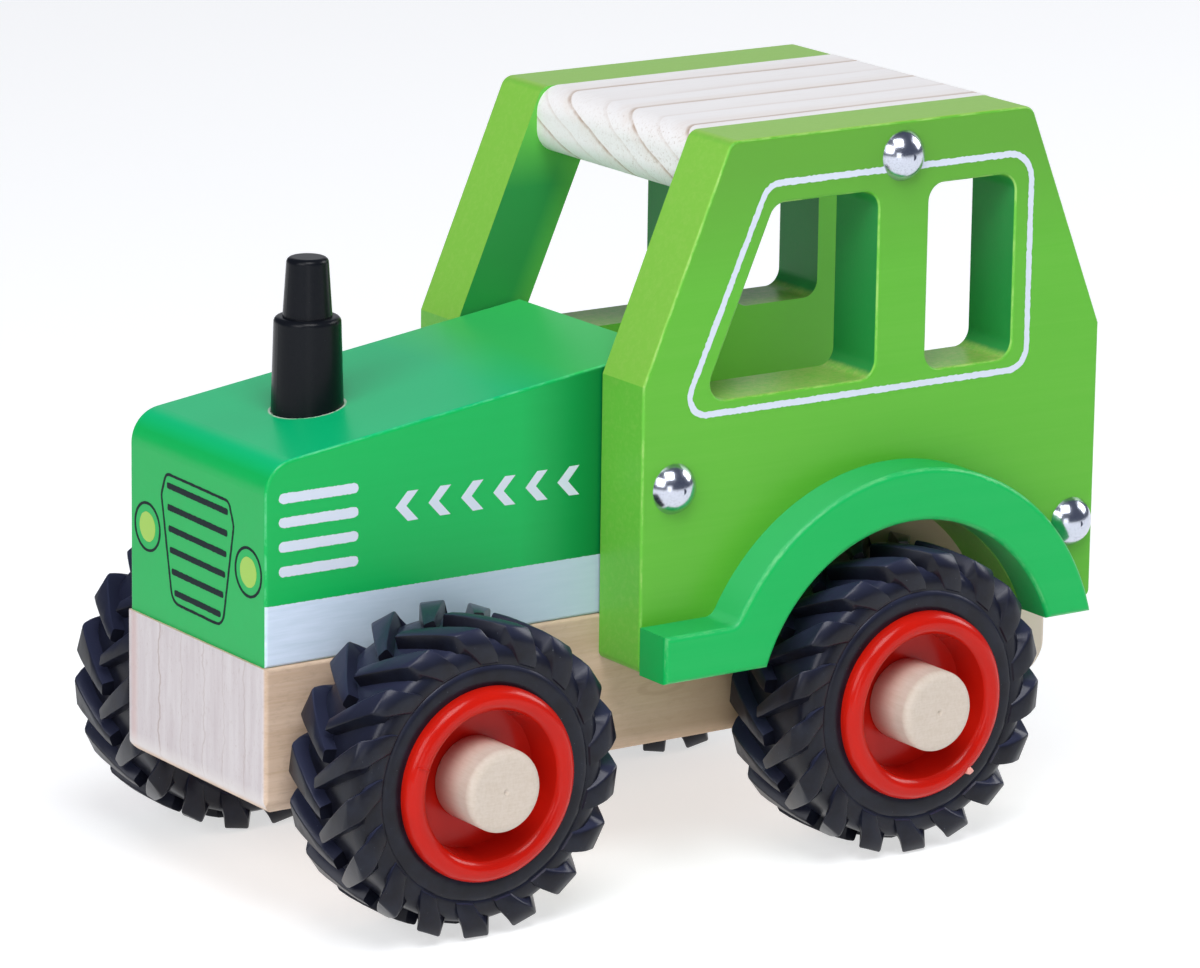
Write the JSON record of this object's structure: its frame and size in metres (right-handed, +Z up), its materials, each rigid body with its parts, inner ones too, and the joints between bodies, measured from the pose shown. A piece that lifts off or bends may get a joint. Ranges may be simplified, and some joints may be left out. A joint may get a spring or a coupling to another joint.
{
  "type": "toy tractor",
  "caption": "Wooden toy tractor: open cab with windows, sloping bonnet, exhaust stack, wheel-arch fenders and free-rolling rubber-tyred wheels on wooden pegs.",
  "frame": {"origin": "on the ground, under the middle of the bounding box", "axes": "+X forwards along the longest extent, +Y to the driver's left along the shortest extent, +Z up"},
  "size_m": [0.167, 0.105, 0.13],
  "materials": {
    "bare_beech": "sanded bare hardwood",
    "bare_pine": "sanded bare softwood",
    "emerald_paint": "satin green paint on wood",
    "apple_paint": "satin yellow-green paint on plywood",
    "black_paint": "semi-gloss black paint on turned wood",
    "polished_steel": "polished steel",
    "dowel_wood": "bare dowel",
    "peg_wood": "bare turned hardwood",
    "red_plastic": "glossy red",
    "black_rubber": "matt moulded rubber"
  },
  "bodies": {
    "body": {"chassis": "bare_beech", "seat_block": "bare_beech", "roof_board": "bare_pine", "bonnet": "emerald_paint", "cab_side_left": "apple_paint", "cab_side_right": "apple_paint", "fender_left": "emerald_paint", "fender_right": "emerald_paint", "exhaust_stack": "black_paint", "dome_nails": "polished_steel", "bonnet_dowels": "dowel_wood", "seat_dowels": "dowel_wood", "fender_pins_left": "dowel_wood", "fender_pins_right": "dowel_wood", "axle_peg_front_left": "peg_wood", "axle_peg_front_right": "peg_wood", "axle_peg_rear_left": "peg_wood", "axle_peg_rear_right": "peg_wood"},
    "wheel_front_left": {"rim_front_left": "red_plastic", "tyre_front_left": "black_rubber"},
    "wheel_front_right": {"rim_front_right": "red_plastic", "tyre_front_right": "black_rubber"},
    "wheel_rear_left": {"rim_rear_left": "red_plastic", "tyre_rear_left": "black_rubber"},
    "wheel_rear_right": {"rim_rear_right": "red_plastic", "tyre_rear_right": "black_rubber"}
  },
  "joints": [
    {"name": "wheel_front_left_spin", "type": "hinge", "parent": "body", "child": "wheel_front_left", "pos_m": [0.054, 0.03635, 0.0275], "axis": [0, 1, 0], "continuous": true},
    {"name": "wheel_front_right_spin", "type": "hinge", "parent": "body", "child": "wheel_front_right", "pos_m": [0.054, -0.03635, 0.0275], "axis": [0, 1, 0], "continuous": true},
    {"name": "wheel_rear_left_spin", "type": "hinge", "parent": "body", "child": "wheel_rear_left", "pos_m": [-0.037, 0.03635, 0.0275], "axis": [0, 1, 0], "continuous": true},
    {"name": "wheel_rear_right_spin", "type": "hinge", "parent": "body", "child": "wheel_rear_right", "pos_m": [-0.037, -0.03635, 0.0275], "axis": [0, 1, 0], "continuous": true}
  ]
}
